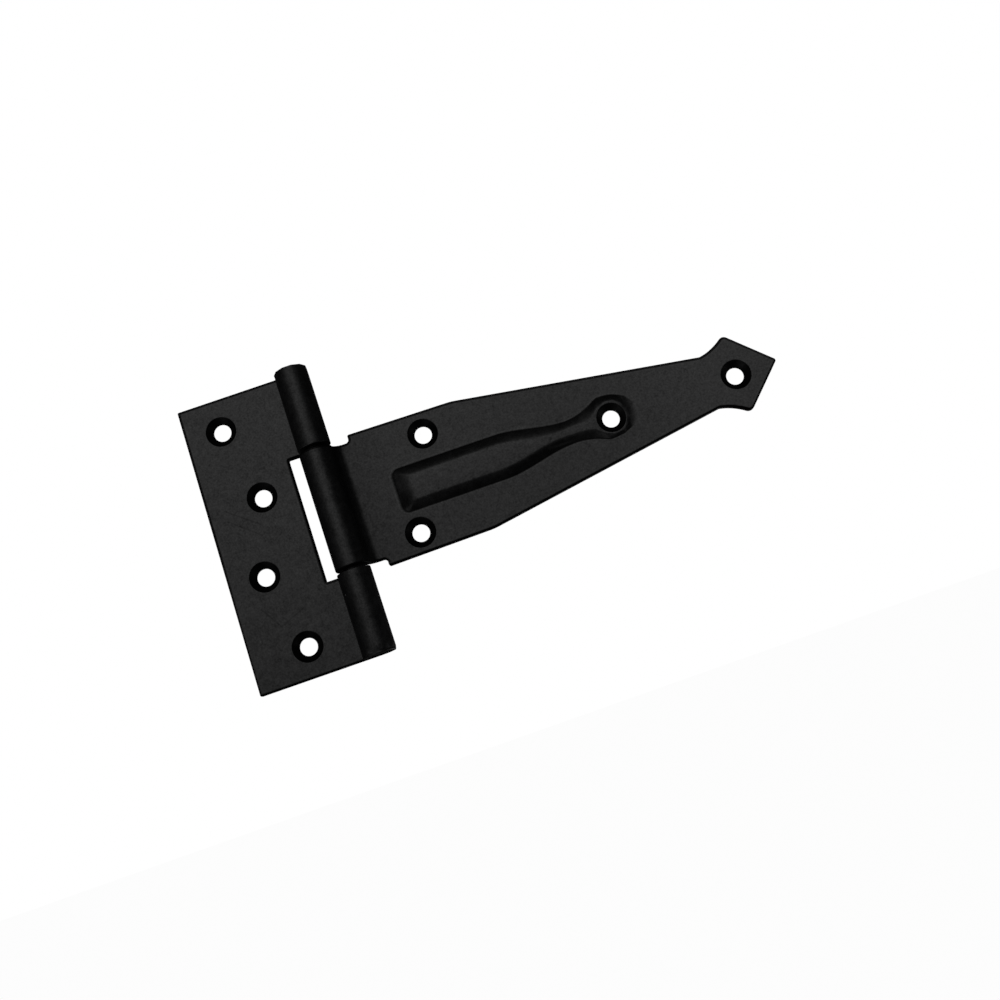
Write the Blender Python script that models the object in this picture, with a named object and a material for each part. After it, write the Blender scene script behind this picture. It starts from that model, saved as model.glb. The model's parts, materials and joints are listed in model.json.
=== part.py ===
"""A 6 inch T hinge in black-coated pressed steel.

Three pieces: a rectangular jamb leaf with two knuckles, a tapered strap leaf with one knuckle,
a pressed rib and a spear end, and the pin that runs through the knuckles.

World frame: +Z runs along the pin, +X from the jamb leaf to the strap's tip, and -Y is the front,
where the knuckles stand proud. Both leaves lie flat with their backs in the plane Y = 0. The world
origin is a point of the jamb leaf's back, halfway up.

Every mesh is drawn around the pin: its local origin is on the pin's axis, halfway up.
"""
import math

import bmesh
import bpy
from mathutils import Matrix, Vector

MM = 0.001

# Sheet, pin and knuckles
SHEET = 2.4 * MM
PIN_RADIUS = 2.8 * MM
PIN_CLEARANCE = 0.3 * MM
BORE_RADIUS = PIN_RADIUS + PIN_CLEARANCE
KNUCKLE_RADIUS = BORE_RADIUS + SHEET
PIN_RECESS = 0.2 * MM
PIN_DOME = 0.9 * MM

# Both leaves' backs touch the knuckles' backmost line, so the faces follow from the knuckle.
BACK = KNUCKLE_RADIUS
FRONT = BACK - SHEET

# Place of the pin's axis in the world
AXIS_X = 25.0 * MM
AXIS_Y = -KNUCKLE_RADIUS

# Jamb leaf
LEAF_HEIGHT = 97.8 * MM
LEAF_REACH = 40.1 * MM
WINDOW_HEIGHT = 42.4 * MM
WINDOW_REACH = 9.75 * MM
WINDOW_CORNER = 0.5 * MM
JAMB_SEAM_ANGLE = 30.0
JAMB_HOLE_NEAR = 21.4 * MM
JAMB_HOLE_FAR = 28.0 * MM
JAMB_HOLE_HIGH = 38.3 * MM
JAMB_HOLE_LOW = 12.6 * MM

# Strap leaf: distances along the strap start at the pin's axis
STRAP_LENGTH = 152.4 * MM
KNUCKLE_PLAY = 0.9 * MM
TAB_HALF = WINDOW_HEIGHT / 2 - KNUCKLE_PLAY
ROOT_BEND_RADIUS = 3.5 * MM
SHOULDER_START = 10.9 * MM
SHOULDER_HALF = 22.9 * MM
SHOULDER_CORNER = 0.8 * MM
SHOULDER_FILLET = 1.2 * MM
BEND_START = 46.7 * MM
BEND_HALF = 22.35 * MM
BEND_RADIUS = 22.0 * MM
NECK_START = 128.9 * MM
NECK_HALF = 9.15 * MM
NECK_CORNER = 1.2 * MM
BARB_START = 138.5 * MM
BARB_HALF = 13.7 * MM
BARB_SLOPE_START = 0.15
BARB_CORNER = 1.2 * MM
TIP_CORNER = 0.5 * MM
STRAP_SEAM_ANGLE = 44.0
ROOT_HOLE_FAR = 34.6 * MM
ROOT_HOLE_NEAR = 23.8 * MM
ROOT_HOLE_OFFSET = 15.4 * MM
RIB_HOLE = 94.4 * MM
TIP_HOLE = 138.0 * MM

# Countersunk screw holes, number 10 screws, punched a little below the leaves' middles
SCREW_RADIUS = 2.95 * MM
SINK_RADIUS = 4.95 * MM
HOLE_DROP = 0.5 * MM
RIB_HOLE_DROP = 0.8 * MM

# Pressed rib: the foot is its outline on the sheet, the crown is the outline of its flat top.
# Drops and leans lower the middle of the foot, and of the crown beyond that, below the strap's middle.
RIB_HEIGHT = 1.8 * MM
RIB_WALL = 3.75 * MM
RIB_END_WALL = 6.0 * MM
RIB_START = 20.7 * MM
RIB_HALF = 7.45 * MM
RIB_CORNER = 2.5 * MM
RIB_DROP = 1.0 * MM
RIB_LEAN = 0.4 * MM
RIB_TAPER_START = 56.0 * MM
RIB_NECK = 80.0 * MM
RIB_NECK_HALF = 3.9 * MM
RIB_NECK_WALL = 2.6 * MM
RIB_NECK_DROP = 0.7 * MM
RIB_NECK_LEAN = -0.2 * MM
FLARE_RADIUS = 20.0 * MM
PAD_HEIGHT = 1.1 * MM
PAD_WALL = 2.3 * MM
PAD_START = 91.9 * MM
PAD_HALF = 7.3 * MM
PAD_SHOULDER = 96.3 * MM
PAD_SHOULDER_HALF = 7.0 * MM
PAD_CORNER = 100.4 * MM
PAD_CORNER_HALF = 5.2 * MM
PAD_RADIUS = 2.0 * MM
PAD_NOSE = 103.4 * MM
PAD_NOSE_HALF = 2.3 * MM
PAD_NOSE_RADIUS = 0.8 * MM
PAD_NOSE_WALL = 2.6 * MM
PAD_NOSE_HEIGHT = 0.5 * MM
PAD_SINK_RADIUS = 4.35 * MM

# Fineness of the round shapes
CIRCLE_STEPS = 48
BEND_STEPS = 12
CORNER_STEPS = 5
WALL_STEPS = 4
TAPER_STEPS = 10
FLARE_STEPS = 5

# How far a cutter reaches past the metal it cuts
OVERCUT = 1.0 * MM


def polar(centre, radius, degrees):
    """A point on a circle; 0 degrees points to +X and 90 degrees to +Y."""
    angle = math.radians(degrees)
    return Vector((centre[0] + radius * math.cos(angle), centre[1] + radius * math.sin(angle)))


def arc(centre, radius, start, end):
    """Points from one angle to another, as finely stepped as CIRCLE_STEPS asks."""
    steps = max(2, round(abs(end - start) / 360 * CIRCLE_STEPS))
    return [polar(centre, radius, start + (end - start) * i / steps) for i in range(steps + 1)]


def rounded(corners, steps=CORNER_STEPS, closed=True):
    """An outline from (x, y, radius) corners, each round corner made of steps + 1 points."""
    points = []
    count = len(corners)
    for i, (x, y, radius) in enumerate(corners):
        here = Vector((x, y))
        is_end = not closed and i in (0, count - 1)
        if radius == 0 or is_end:
            points.append(here)
            continue
        before = Vector(corners[i - 1][:2]) - here
        after = Vector(corners[(i + 1) % count][:2]) - here
        before.normalize()
        after.normalize()
        half_angle = before.angle(after) / 2
        centre = here + (before + after).normalized() * radius / math.sin(half_angle)
        first = here + before * radius / math.tan(half_angle) - centre
        last = here + after * radius / math.tan(half_angle) - centre
        turn = first.angle_signed(last)
        for step in range(steps + 1):
            points.append(centre + Matrix.Rotation(-turn * step / steps, 2) @ first)
    return points


def new_mesh(name, bm):
    bmesh.ops.recalc_face_normals(bm, faces=bm.faces)
    mesh = bpy.data.meshes.new(name)
    bm.to_mesh(mesh)
    bm.free()
    return mesh


def loft(name, rings, crowned=False):
    """A closed solid through rings of equal length, capped at both ends.

    A crowned one ends in strips across its last ring, from one half of it to the other.
    """
    bm = bmesh.new()
    loops = [[bm.verts.new(point) for point in ring] for ring in rings]
    count = len(loops[0])
    for lower, upper in zip(loops, loops[1:]):
        for i in range(count):
            j = (i + 1) % count
            bm.faces.new((lower[i], lower[j], upper[j], upper[i]))
    bm.faces.new(loops[0])
    crown = loops[-1]
    if not crowned:
        bm.faces.new(crown)
        return new_mesh(name, bm)
    for i in range(count // 2 - 1):
        bm.faces.new((crown[i], crown[i + 1], crown[-i - 2], crown[-i - 1]))
    return new_mesh(name, bm)


def along_z(name, profile, low, high):
    """A profile of (x, y) points extruded along the pin."""
    return loft(name, [[(p.x, p.y, z) for p in profile] for z in (low, high)])


def through_sheet(name, outline):
    """A punch with an outline of (x, z) points that reaches right through a whole leaf."""
    reach = KNUCKLE_RADIUS + OVERCUT
    return loft(name, [[(p.x, y, p.y) for p in outline] for y in (-reach, reach)])


def screw_cutter(name, places):
    """One cutter for a leaf's countersunk holes; each place is (x, z, y of the face)."""
    bm = bmesh.new()
    sink_depth = SINK_RADIUS - SCREW_RADIUS
    for x, z, face in places:
        rings = (
            (face - OVERCUT, SINK_RADIUS + OVERCUT),
            (face + sink_depth, SCREW_RADIUS),
            (BACK + OVERCUT, SCREW_RADIUS),
        )
        loops = []
        for y, radius in rings:
            circle = [polar((x, z), radius, 360 * i / CIRCLE_STEPS) for i in range(CIRCLE_STEPS)]
            loops.append([bm.verts.new((p.x, y, p.y)) for p in circle])
        for front, back in zip(loops, loops[1:]):
            for i in range(CIRCLE_STEPS):
                j = (i + 1) % CIRCLE_STEPS
                bm.faces.new((front[i], front[j], back[j], back[i]))
        bm.faces.new(loops[0])
        bm.faces.new(loops[-1])
    return new_mesh(name, bm)


def coating(name, colour, roughness, metallic):
    """The material of one piece."""
    material = bpy.data.materials.new(name)
    material.use_nodes = True
    shader = material.node_tree.nodes["Principled BSDF"]
    shader.inputs["Base Color"].default_value = (*colour, 1.0)
    shader.inputs["Roughness"].default_value = roughness
    shader.inputs["Metallic"].default_value = metallic
    return material


def place(name, mesh, axis, material=None):
    """Puts a mesh on the pin's axis."""
    piece = bpy.data.objects.new(name, mesh)
    bpy.context.collection.objects.link(piece)
    piece.parent = axis
    if material:
        mesh.materials.append(material)
        mesh.shade_smooth()
        mesh.set_sharp_from_angle(angle=math.radians(30))
    return piece


def cut(piece, operation, mesh):
    """Adds a Boolean modifier whose tool is left out of the build."""
    tool = place(mesh.name, mesh, piece.parent)
    tool.display_type = "WIRE"
    tool.hide_render = True
    modifier = piece.modifiers.new(mesh.name, "BOOLEAN")
    modifier.operation = operation
    modifier.solver = "EXACT"
    modifier.object = tool


def jamb_profile():
    """The jamb leaf from above: flat, round the back of the pin, over the front and down."""
    seam = -180 - JAMB_SEAM_ANGLE
    outer = arc((0, 0), KNUCKLE_RADIUS, 90, seam)
    inner = arc((0, 0), BORE_RADIUS, seam, 90)
    return [Vector((-LEAF_REACH, BACK))] + outer + inner + [Vector((-LEAF_REACH, FRONT))]


def strap_profile():
    """The strap from above: flat, up in front of the pin, over it, and round the back."""
    bend_y = FRONT - ROOT_BEND_RADIUS
    between = BORE_RADIUS + SHEET + ROOT_BEND_RADIUS
    bend = (math.sqrt(between ** 2 - bend_y ** 2), bend_y)
    meet = math.degrees(math.asin(bend_y / between))
    seam = STRAP_SEAM_ANGLE - 360
    front = arc(bend, ROOT_BEND_RADIUS, 90, 180 + meet)[:-1] + arc((0, 0), KNUCKLE_RADIUS, meet, seam)
    back = arc((0, 0), BORE_RADIUS, seam, meet)[:-1] + arc(bend, ROOT_BEND_RADIUS + SHEET, 180 + meet, 90)
    end = STRAP_LENGTH + OVERCUT
    return [Vector((end, FRONT))] + front + back + [Vector((end, BACK))]


def barb_curve():
    """The hollow edge from the neck out to the barb, steeper and steeper, as an arc."""
    run = BARB_START - NECK_START
    rise = BARB_HALF - NECK_HALF
    bend = rise / run - BARB_SLOPE_START
    points = []
    for i in range(1, BEND_STEPS - 1):
        share = i / BEND_STEPS
        height = (BARB_SLOPE_START * share + bend * share * share) * run
        points.append((NECK_START + run * share, NECK_HALF + height, 0))
    return points


def strap_outline():
    """The flat shape of the strap: tab, shoulders, long taper, neck, barbs and point."""
    far = -KNUCKLE_RADIUS - OVERCUT
    half = [
        (far, TAB_HALF, 0),
        (SHOULDER_START, TAB_HALF, SHOULDER_FILLET),
        (SHOULDER_START, SHOULDER_HALF, SHOULDER_CORNER),
        (BEND_START, BEND_HALF, BEND_RADIUS),
        (NECK_START, NECK_HALF, NECK_CORNER),
    ]
    half += barb_curve()
    half += [(BARB_START, BARB_HALF, BARB_CORNER), (STRAP_LENGTH, 0, TIP_CORNER)]
    lower = [(x, -y, radius) for x, y, radius in reversed(half[:-1])]
    return rounded(half + lower)


def ease(share):
    """Runs from 0 to 1 with a level start and end."""
    return share * share * (3 - 2 * share)


def blend(start, end, share):
    return start + (end - start) * share


def rib_stations():
    """(distance along, foot's half width, wall's width, drop, lean) from the taper to the pad."""
    stations = []
    for i in range(TAPER_STEPS):
        along = i / TAPER_STEPS
        x = blend(RIB_TAPER_START, RIB_NECK, along)
        half = blend(RIB_HALF, RIB_NECK_HALF, ease(along))
        wall = blend(RIB_WALL, RIB_NECK_WALL, along)
        drop = blend(RIB_DROP, RIB_NECK_DROP, along)
        lean = blend(RIB_LEAN, RIB_NECK_LEAN, along)
        stations.append((x, half, wall, drop, lean))
    for i in range(FLARE_STEPS):
        along = i / FLARE_STEPS
        x = blend(RIB_NECK, PAD_START, along)
        half = RIB_NECK_HALF + (x - RIB_NECK) ** 2 / (2 * FLARE_RADIUS)
        wall = blend(RIB_NECK_WALL, PAD_WALL, along)
        drop = blend(RIB_NECK_DROP, 0, along)
        lean = blend(RIB_NECK_LEAN, RIB_HOLE_DROP, along)
        stations.append((x, half, wall, drop, lean))
    return stations


def rib_side(side, share):
    """One side of the rib, 1 or -1, at a share of its walls, as (x, z, radius) corners."""
    start = RIB_START + RIB_END_WALL * share
    half = RIB_HALF - RIB_WALL * share
    middle = RIB_DROP + RIB_LEAN * share
    corners = [
        (start, -middle, 0),
        (start, side * half - middle, max(RIB_CORNER - RIB_WALL * share, RIB_CORNER / 4)),
    ]
    for x, half, wall, drop, lean in rib_stations():
        corners.append((x, side * (half - wall * share) - drop - lean * share, 0))
    wall = PAD_WALL * share
    nose_wall = PAD_NOSE_WALL * share
    pad = (
        (PAD_START, PAD_HALF - wall, PAD_RADIUS),
        (PAD_SHOULDER - wall / 2, PAD_SHOULDER_HALF - wall, PAD_RADIUS),
        (PAD_CORNER - nose_wall / 2, PAD_CORNER_HALF - wall / 2, PAD_RADIUS),
        (PAD_NOSE - nose_wall, PAD_NOSE_HALF, PAD_NOSE_RADIUS),
        (PAD_NOSE - nose_wall, 0, 0),
    )
    middle = RIB_HOLE_DROP * share
    return corners + [(x, side * half - middle, radius) for x, half, radius in pad]


def rib_outline(share):
    """The rib's outline at a share of its walls: 0 is its foot and 1 is its crown."""
    upper = rounded(rib_side(1, share), closed=False)[1:-1]
    lower = rounded(rib_side(-1, share), closed=False)[1:-1]
    return upper + lower[::-1]


def rib_height(x):
    """The crown's height over the sheet, which sinks from the taper to the pad and on to the nose."""
    if x > PAD_START:
        return blend(PAD_HEIGHT, PAD_NOSE_HEIGHT, (x - PAD_START) / (PAD_NOSE - PAD_START))
    along = max(0.0, (x - RIB_TAPER_START) / (PAD_START - RIB_TAPER_START))
    return blend(RIB_HEIGHT, PAD_HEIGHT, ease(along))


def rib_solid(name, sheet_face, root):
    """The rib's raised volume above one face of the sheet, on a root that reaches to y = root."""
    rings = [[(p.x, root, p.y) for p in rib_outline(0)]]
    for i in range(WALL_STEPS + 1):
        share = i / WALL_STEPS
        rise = math.sin(share * math.pi / 2)
        rings.append([(p.x, sheet_face - rib_height(p.x) * rise, p.y) for p in rib_outline(share)])
    return loft(name, rings, crowned=True)


def make_jamb_leaf(axis):
    top = LEAF_HEIGHT / 2
    mesh = along_z("jamb_leaf", jamb_profile(), -top, top)
    leaf = place("jamb_leaf", mesh, axis, coating("satin_black_jamb", (0.020, 0.020, 0.022), 0.42, 0.0))
    half = WINDOW_HEIGHT / 2
    past_barrel = KNUCKLE_RADIUS + OVERCUT
    window = [
        (-WINDOW_REACH, half, WINDOW_CORNER),
        (past_barrel, half, 0),
        (past_barrel, -half, 0),
        (-WINDOW_REACH, -half, WINDOW_CORNER),
    ]
    cut(leaf, "DIFFERENCE", through_sheet("window_cutter", rounded(window)))
    holes = (
        (-JAMB_HOLE_FAR, JAMB_HOLE_HIGH - HOLE_DROP, FRONT),
        (-JAMB_HOLE_NEAR, JAMB_HOLE_LOW - HOLE_DROP, FRONT),
        (-JAMB_HOLE_FAR, -JAMB_HOLE_LOW - HOLE_DROP, FRONT),
        (-JAMB_HOLE_NEAR, -JAMB_HOLE_HIGH - HOLE_DROP, FRONT),
    )
    cut(leaf, "DIFFERENCE", screw_cutter("jamb_screw_cutter", holes))
    return leaf


def make_strap_leaf(axis):
    mesh = along_z("strap_leaf", strap_profile(), -SHOULDER_HALF - OVERCUT, SHOULDER_HALF + OVERCUT)
    leaf = place("strap_leaf", mesh, axis, coating("satin_black_strap", (0.019, 0.019, 0.021), 0.42, 0.0))
    cut(leaf, "INTERSECT", through_sheet("strap_punch", strap_outline()))
    cut(leaf, "UNION", rib_solid("rib_boss", FRONT, (FRONT + BACK) / 2))
    cut(leaf, "DIFFERENCE", rib_solid("rib_hollow", BACK, BACK + OVERCUT))
    holes = (
        (ROOT_HOLE_FAR, ROOT_HOLE_OFFSET - HOLE_DROP, FRONT),
        (ROOT_HOLE_NEAR, -ROOT_HOLE_OFFSET - HOLE_DROP, FRONT),
        (RIB_HOLE, -RIB_HOLE_DROP, FRONT - rib_height(RIB_HOLE) - SINK_RADIUS + PAD_SINK_RADIUS),
        (TIP_HOLE, -HOLE_DROP, FRONT),
    )
    cut(leaf, "DIFFERENCE", screw_cutter("strap_screw_cutter", holes))
    return leaf


def make_pin(axis):
    """A plain rod with slightly domed ends, just inside the barrel's ends."""
    end = LEAF_HEIGHT / 2 - PIN_RECESS
    rings = []
    for side in (-1, 1):
        dome = []
        for i in range(1, CORNER_STEPS + 1):
            angle = math.pi / 2 * i / CORNER_STEPS
            radius = PIN_RADIUS * math.sin(angle)
            dome.append((radius, side * (end - PIN_DOME * (1 - math.cos(angle)))))
        rings += dome if side < 0 else reversed(dome)
    circles = []
    for radius, z in rings:
        circle = [polar((0, 0), radius, 360 * i / CIRCLE_STEPS) for i in range(CIRCLE_STEPS)]
        circles.append([(p.x, p.y, z) for p in circle])
    mesh = loft("hinge_pin", circles)
    return place("hinge_pin", mesh, axis, coating("black_steel_pin", (0.014, 0.014, 0.015), 0.38, 0.2))


def main():
    for old in list(bpy.data.objects):
        bpy.data.objects.remove(old, do_unlink=True)
    axis = bpy.data.objects.new("hinge_axis", None)
    axis.location = (AXIS_X, AXIS_Y, 0)
    bpy.context.collection.objects.link(axis)
    make_jamb_leaf(axis)
    make_strap_leaf(axis)
    make_pin(axis)


main()
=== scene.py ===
"""Looks of the 6 inch T hinge: finely meshed leaves and pin in satin black, on a pale studio floor."""

import json
import math

import bmesh
import bpy
import numpy as np
from mathutils import Matrix, Vector
from mathutils.geometry import delaunay_2d_cdt
from mathutils.kdtree import KDTree


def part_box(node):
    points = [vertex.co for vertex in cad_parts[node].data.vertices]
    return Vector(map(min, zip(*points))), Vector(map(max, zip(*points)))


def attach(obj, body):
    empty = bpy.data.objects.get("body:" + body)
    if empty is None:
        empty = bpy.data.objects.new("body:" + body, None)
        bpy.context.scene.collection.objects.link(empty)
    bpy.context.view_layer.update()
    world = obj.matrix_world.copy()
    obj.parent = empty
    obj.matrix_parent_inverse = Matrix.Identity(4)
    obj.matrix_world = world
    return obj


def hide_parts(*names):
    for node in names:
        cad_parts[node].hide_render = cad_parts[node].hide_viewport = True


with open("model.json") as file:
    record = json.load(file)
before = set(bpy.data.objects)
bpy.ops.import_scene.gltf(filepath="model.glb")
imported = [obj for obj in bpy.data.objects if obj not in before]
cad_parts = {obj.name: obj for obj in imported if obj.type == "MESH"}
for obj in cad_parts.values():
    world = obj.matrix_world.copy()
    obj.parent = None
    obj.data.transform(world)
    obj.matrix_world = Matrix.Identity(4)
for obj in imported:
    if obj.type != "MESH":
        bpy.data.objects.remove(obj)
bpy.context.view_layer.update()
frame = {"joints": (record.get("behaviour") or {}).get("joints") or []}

# ---------------------------------------------------------------- sizes, in millimetres
MM = 0.001
joint = frame["joints"][0]
AXIS = Vector(joint["pos_m"])
pin_low, pin_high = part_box("hinge_pin")
jamb_low, jamb_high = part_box("jamb_leaf")
strap_low, strap_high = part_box("strap_leaf")

SHEET = 2.4
HALF_SHEET = SHEET / 2
KNUCKLE = (jamb_high.x - AXIS.x) / MM
BORE = KNUCKLE - SHEET
MID = (KNUCKLE + BORE) / 2
PIN = (pin_high.x - pin_low.x) / MM / 2
PIN_END = pin_high.z / MM

LEAF_TOP = jamb_high.z / MM
LEAF_REACH = (AXIS.x - jamb_low.x) / MM
WINDOW_HALF = 21.2
WINDOW_REACH = 9.75
JAMB_TURN = 300.0
JAMB_HOLES = ((-28.0, 37.8), (-21.4, 12.1), (-28.0, -13.1), (-21.4, -38.8))
LEAF_CORNER = 0.5
CURL_CORNER = 0.35
WINDOW_CORNER = 0.4

STRAP_END = (strap_high.x - AXIS.x) / MM
TAB_HALF = 20.3
SHOULDER = 10.9
SHOULDER_HALF = strap_high.z / MM
ROOT_BEND = 3.5
BEND_Y = BORE - ROOT_BEND
BEND_X = math.sqrt((KNUCKLE + ROOT_BEND) ** 2 - BEND_Y ** 2)
MEET = math.asin(BEND_Y / (KNUCKLE + ROOT_BEND))
BEND_LENGTH = (math.pi / 2 + MEET) * (ROOT_BEND + HALF_SHEET)
STRAP_TURN = 316.0 + math.degrees(MEET)
STRAP_HOLES = ((34.6, 14.9), (23.8, -15.9), (94.4, -0.8), (138.0, -0.5))
TAB_CORNER = 0.4
SHOULDER_FILLET = 1.2
SHOULDER_CORNER = 0.6
BEND_START = 46.7
BEND_HALF = 22.35
BEND_RADIUS = 22.0
NECK_START = 128.9
NECK_HALF = 9.15
NECK_CORNER = 1.2
BARB_START = 138.5
BARB_HALF = 13.7
BARB_SLOPE_START = 0.15
BARB_CORNER = 2.0
BARB_STEPS = 16
TIP_CORNER = 0.8
# The tip's sides meet this far beyond the rounded tip
TIP_BEYOND = 0.2

# Pressed rib: foot on the sheet, the wall's width from there to the crown, and how far below the
# strap's middle the foot (drop) and beyond that the crown (lean) lie
RIB_HEIGHT = 1.8
RIB_WALL = 3.75
RIB_END_WALL = 6.0
RIB_START = 20.7
RIB_HALF = 7.45
RIB_CORNER = 2.5
RIB_DROP = 1.0
RIB_LEAN = 0.4
RIB_TAPER_START = 56.0
RIB_NECK = 80.0
RIB_NECK_HALF = 3.9
RIB_NECK_WALL = 3.05
RIB_UPPER_SWELL = 0.85
RIB_LOWER_SWELL = 0.45
RIB_NECK_DROP = 0.7
RIB_NECK_LEAN = 0.05
FLARE_RADIUS = 20.0
TAPER_STEPS = 16
FLARE_STEPS = 10
PAD_HEIGHT = 1.05
PAD_NOSE_HEIGHT = 0.55
# How much higher the pad's land stands per millimetre up the strap
PAD_SLANT = 0.05
# Where the rib starts to take on the pad's slant and its steadier walls, and over what length it does
SLANT_START = 84.0
SLANT_RUN = 6.0
PAD_START = 91.9
# (x, half width) of the crown from the neck to the pad
PAD_APPROACH = ((80.0, 0.85), (84.0, 0.9), (88.0, 1.45), (89.3, 2.5), (90.8, 4.05))
# The pad's corners as (x, half width): on its foot, on its land round the countersink, and their radii
PAD = (
    ((91.9, 7.3), (90.8, 4.05), (2.0, 0.5)),
    ((94.6, 7.2), (94.0, 5.40), (2.0, 2.0)),
    ((96.9, 6.85), (96.9, 4.95), (2.0, 2.0)),
    ((100.7, 5.3), (98.9, 3.30), (1.6, 2.0)),
    ((102.9, 2.3), (99.75, 1.35), (0.8, 0.8)),
    ((102.9, 0.0), (99.75, 0.0), (0.0, 0.0)),
)
PAD_DROP = 0.8
PAD_SINK = 4.8
CROWN_DOME = 0.12
# How far in from the crown's edge the dome rises, and the length over which it ends before the pad
DOME_REACH = 3.7
DOME_FADE = 8.0

SCREW = 2.87
SINK = 4.95

# Rounding of the punched edges, front and back
EDGE = 0.55
BACK_EDGE = 0.25
EDGE_STEPS = 5
CORNER_STEPS = 8
CIRCLE = 72
# Rings inside the rounding: a line of painted shade, its fading, a line of painted highlight, and the
# flat sheet's first ring
SHADE_LINE = 0.22
SHADE_FADE = 0.34
HIGHLIGHT_LINE = 0.50
FLAT_RING = 0.9

# Longest sides of the mesh, in the curled stretches (along and across the sheet) and in the flat ones
CURLED_STEP = 0.42
CURLED_ACROSS = 1.6
JAMB_EDGE_STEP = 2.5
JAMB_STEP = 3.0
STRAP_EDGE_STEP = 2.0
STRAP_STEP = 2.5
RIB_STEP = 1.3
# Room kept free of lattice points round a countersink, and round any ring as a share of the step
HOLE_ROOM = 0.6
RING_ROOM = 0.6

PIN_ROUND = 0.9
PIN_ROUND_STEPS = 8
PIN_SIDES = 48
PIN_STATIONS = 40


# ---------------------------------------------------------------- outlines
def rounded(corners, closed=True):
    """An outline from (x, y, radius) corners."""
    points = []
    count = len(corners)
    for i, (x, y, radius) in enumerate(corners):
        here = Vector((x, y))
        if radius == 0 or (not closed and i in (0, count - 1)):
            points.append(here)
            continue
        before = (Vector(corners[i - 1][:2]) - here).normalized()
        after = (Vector(corners[(i + 1) % count][:2]) - here).normalized()
        half_angle = before.angle(after) / 2
        centre = here + (before + after).normalized() * radius / math.sin(half_angle)
        first = here + before * radius / math.tan(half_angle) - centre
        last = here + after * radius / math.tan(half_angle) - centre
        turn = first.angle_signed(last)
        for step in range(CORNER_STEPS + 1):
            points.append(centre + Matrix.Rotation(-turn * step / CORNER_STEPS, 2) @ first)
    return points


def inset(corners, distance):
    """The corners of a closed outline moved inwards; the inside lies to the left of its direction."""
    moved = []
    for i, (x, y, radius) in enumerate(corners):
        here = Vector((x, y))
        before = (here - Vector(corners[i - 1][:2])).normalized()
        after = (Vector(corners[(i + 1) % len(corners)][:2]) - here).normalized()
        inward = Vector((-before.y - after.y, before.x + after.x)) / (1 + before.dot(after))
        place = here + inward * distance
        if radius:
            is_convex = before.cross(after) > 0
            radius = max(radius - distance, 0.05) if is_convex else radius + distance
        moved.append((place.x, place.y, radius))
    return moved


def pieces_of(points, spacing):
    """How many pieces each side of a closed outline needs; spacing gives the longest at a place."""
    ends = points[1:] + points[:1]
    return [max(1, math.ceil((b - a).length / spacing((a + b) / 2))) for a, b in zip(points, ends)]


def divide(points, pieces):
    """Splits the sides of a closed outline."""
    out = []
    for here, there, count in zip(points, points[1:] + points[:1], pieces):
        out += [here.lerp(there, k / count) for k in range(count)]
    return np.array([(p.x, p.y) for p in out])


def circle(centre, radius):
    angles = np.arange(CIRCLE) * 2 * math.pi / CIRCLE
    return np.stack([centre[0] + radius * np.cos(angles), centre[1] + radius * np.sin(angles)], axis=1)


def inside(points, outline):
    """Which points lie inside a closed outline."""
    x, y = points[:, 0][:, None], points[:, 1][:, None]
    x0, y0 = outline[:, 0], outline[:, 1]
    x1, y1 = np.roll(x0, -1), np.roll(y0, -1)
    crosses = (y0 > y) != (y1 > y)
    rise = np.where(y1 == y0, 1e-12, y1 - y0)
    at = x0 + (y - y0) / rise * (x1 - x0)
    return (crosses & (x < at)).sum(axis=1) % 2 == 1


def ease(share):
    """Runs from 0 to 1 with a level start and end."""
    share = min(1.0, max(0.0, share))
    return share * share * (3 - 2 * share)


def blend(start, end, share):
    return start + (end - start) * share


# ---------------------------------------------------------------- how the sheets curl
def jamb_curve(s):
    """Middle of the jamb sheet at s, and the direction its front looks in: flat, then round the pin."""
    if s <= 0:
        return Vector((s, MID)), Vector((0, -1))
    angle = math.pi / 2 - s / MID
    out = Vector((math.cos(angle), math.sin(angle)))
    return out * MID, -out


def strap_curve(s):
    """The same for the strap: flat, up in front of the pin, then round the pin."""
    if s >= BEND_X:
        return Vector((s, MID)), Vector((0, -1))
    back = BEND_X - s
    if back <= BEND_LENGTH:
        radius = ROOT_BEND + HALF_SHEET
        angle = math.pi / 2 + back / radius
        out = Vector((math.cos(angle), math.sin(angle)))
        return Vector((BEND_X, BEND_Y)) + out * radius, -out
    angle = MEET - (back - BEND_LENGTH) / MID
    out = Vector((math.cos(angle), math.sin(angle)))
    return out * MID, out


# ---------------------------------------------------------------- a pressed sheet as one closed mesh
class Skin:
    """Collects one side's loops of points: place on the sheet, level across it, wear, and painted shade
    or highlight.
    """

    def __init__(self):
        self.points = []
        self.edges = []

    def loop(self, points, level, wear=0.0, painted_shading=0.0):
        """Level and the painted shading may be one number or one for each point."""
        start = len(self.points)
        count = len(points)
        for p, height, shade_paint in zip(points, np.broadcast_to(level, count), np.broadcast_to(painted_shading, count)):
            self.points.append((p[0], p[1], height, wear, shade_paint))
        self.edges += [(start + i, start + (i + 1) % count) for i in range(count)]
        return start, count

    def spot(self, p, level):
        self.points.append((p[0], p[1], level, 0.0, 0.0))


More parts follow.
